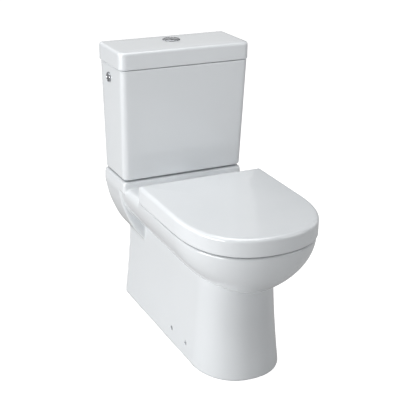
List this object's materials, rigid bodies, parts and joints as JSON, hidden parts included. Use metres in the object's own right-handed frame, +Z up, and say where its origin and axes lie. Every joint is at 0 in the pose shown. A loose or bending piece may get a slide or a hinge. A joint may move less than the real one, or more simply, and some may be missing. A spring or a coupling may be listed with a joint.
{
  "type": "close coupled toilet",
  "caption": "Back to wall close coupled toilet with a tapered cistern, lift-off lid, dual flush button and wrap-over seat.",
  "frame": {"origin": "on the floor, on the plane of symmetry, midway between the seat's nose and the wall; the threaded inlet alone stands 9 mm further out on the right than the cistern lid does", "axes": "+X is right as seen from the front, +Y points to the wall, +Z is up"},
  "size_m": [0.389, 0.7, 0.7845],
  "materials": {
    "ceramic": "glossy white glaze",
    "seat_plastic": "glossy white thermoset",
    "chrome": "polished",
    "grey_rubber": "matte",
    "clear_rubber": "satin",
    "foam": "matte foam",
    "steel": "satin",
    "white_plastic": "satin",
    "grey_plastic": "satin",
    "blue_plastic": "satin"
  },
  "bodies": {
    "pan_and_cistern": {"pan_bowl": "ceramic", "pan_deck": "ceramic", "pan_plinth": "ceramic", "pan_trapway": "ceramic", "cistern_tank": "ceramic", "coupling_gasket": "foam", "cistern_pads": "grey_rubber", "cistern_bolts": "steel", "bolt_cone_washers": "grey_rubber", "bolt_plate_washers": "steel", "cistern_wing_nuts": "white_plastic", "flush_valve_seat": "white_plastic", "flush_valve_washer": "grey_rubber", "flush_valve_back_nut": "white_plastic", "flush_valve_tower": "white_plastic", "rocker_pins": "steel", "fill_valve_body": "white_plastic", "fill_valve_washer": "grey_rubber", "fill_valve_back_nut": "white_plastic", "fill_lever_pin": "steel", "discharge_tube": "white_plastic", "blanking_cap": "chrome", "blanking_cap_washer": "grey_rubber", "blanking_cap_nut": "white_plastic", "hinge_posts": "chrome", "hinge_rosettes": "chrome", "hinge_damper_pins": "grey_plastic", "hinge_bolts": "steel", "hinge_washers": "grey_rubber", "hinge_wing_nuts": "white_plastic"},
    "seat_cover": {"seat_cover": "seat_plastic", "cover_buffers": "clear_rubber"},
    "seat_ring": {"seat_ring": "seat_plastic", "ring_buffers": "clear_rubber"},
    "cistern_lid": {"cistern_lid": "ceramic", "button_housing": "chrome", "button_ring_nut": "white_plastic", "full_flush_spring": "steel", "half_flush_spring": "steel"},
    "full_flush_button": {"full_flush_button": "chrome", "full_flush_rod": "grey_plastic"},
    "half_flush_button": {"half_flush_button": "chrome", "half_flush_rod": "blue_plastic"},
    "full_flush_rocker": {"full_flush_rocker": "blue_plastic"},
    "half_flush_rocker": {"half_flush_rocker": "blue_plastic"},
    "lift_tube": {"lift_tube": "grey_plastic", "lift_tube_seal": "grey_rubber"},
    "half_flush_latch": {"half_flush_latch": "blue_plastic"},
    "fill_valve_float": {"fill_valve_float": "grey_plastic"},
    "fill_valve_lever": {"fill_valve_lever": "blue_plastic"}
  },
  "joints": [
    {"name": "seat_cover_hinge", "type": "hinge", "parent": "pan_and_cistern", "child": "seat_cover", "pos_m": [0, 0.104, 0.417], "axis": [-1, 0, 0], "range_deg": [0, 95]},
    {"name": "seat_ring_hinge", "type": "hinge", "parent": "pan_and_cistern", "child": "seat_ring", "pos_m": [0, 0.104, 0.417], "axis": [-1, 0, 0], "range_deg": [0, 90]},
    {"name": "cistern_lid_lift", "type": "slide", "parent": "pan_and_cistern", "child": "cistern_lid", "axis": [0, 0, 1], "range_m": [0, 0.12]},
    {"name": "full_flush_press", "type": "slide", "parent": "cistern_lid", "child": "full_flush_button", "axis": [0, 0, -1], "range_m": [0, 0.004], "stiffness_N_per_m": 1200, "springref_m": -0.002, "deforming": ["full_flush_spring"]},
    {"name": "half_flush_press", "type": "slide", "parent": "cistern_lid", "child": "half_flush_button", "axis": [0, 0, -1], "range_m": [0, 0.004], "stiffness_N_per_m": 1200, "springref_m": -0.002, "deforming": ["half_flush_spring"]},
    {"name": "full_rocker_turn", "type": "hinge", "parent": "pan_and_cistern", "child": "full_flush_rocker", "pos_m": [0.005, 0.283, 0.672], "axis": [0, 1, 0], "range_deg": [0, 34.85]},
    {"name": "half_rocker_turn", "type": "hinge", "parent": "pan_and_cistern", "child": "half_flush_rocker", "pos_m": [-0.005, 0.283, 0.672], "axis": [0, -1, 0], "range_deg": [0, 34.85]},
    {"name": "lift_tube_rise", "type": "slide", "parent": "pan_and_cistern", "child": "lift_tube", "axis": [0, 0, 1], "range_m": [0, 0.0026]},
    {"name": "half_latch_rise", "type": "slide", "parent": "pan_and_cistern", "child": "half_flush_latch", "axis": [0, 0, 1], "range_m": [0, 0.0026]},
    {"name": "float_slide", "type": "slide", "parent": "pan_and_cistern", "child": "fill_valve_float", "axis": [0, 0, 1], "range_m": [0, 0.015]},
    {"name": "float_lever_turn", "type": "hinge", "parent": "pan_and_cistern", "child": "fill_valve_lever", "pos_m": [0.135, 0.292, 0.7], "axis": [-1, 0, 0], "range_deg": [0, 24.62]}
  ],
  "couplings": [
    {"joint": "seat_ring_hinge", "follows": "seat_cover_hinge", "ratio": 0.94736},
    {"joint": "full_rocker_turn", "follows": "full_flush_press", "rad_per_m": 152.01},
    {"joint": "lift_tube_rise", "follows": "full_flush_press", "ratio": 0.65},
    {"joint": "half_rocker_turn", "follows": "half_flush_press", "rad_per_m": 152.01},
    {"joint": "half_latch_rise", "follows": "half_flush_press", "ratio": 0.65},
    {"joint": "float_lever_turn", "follows": "float_slide", "rad_per_m": 28.63}
  ]
}
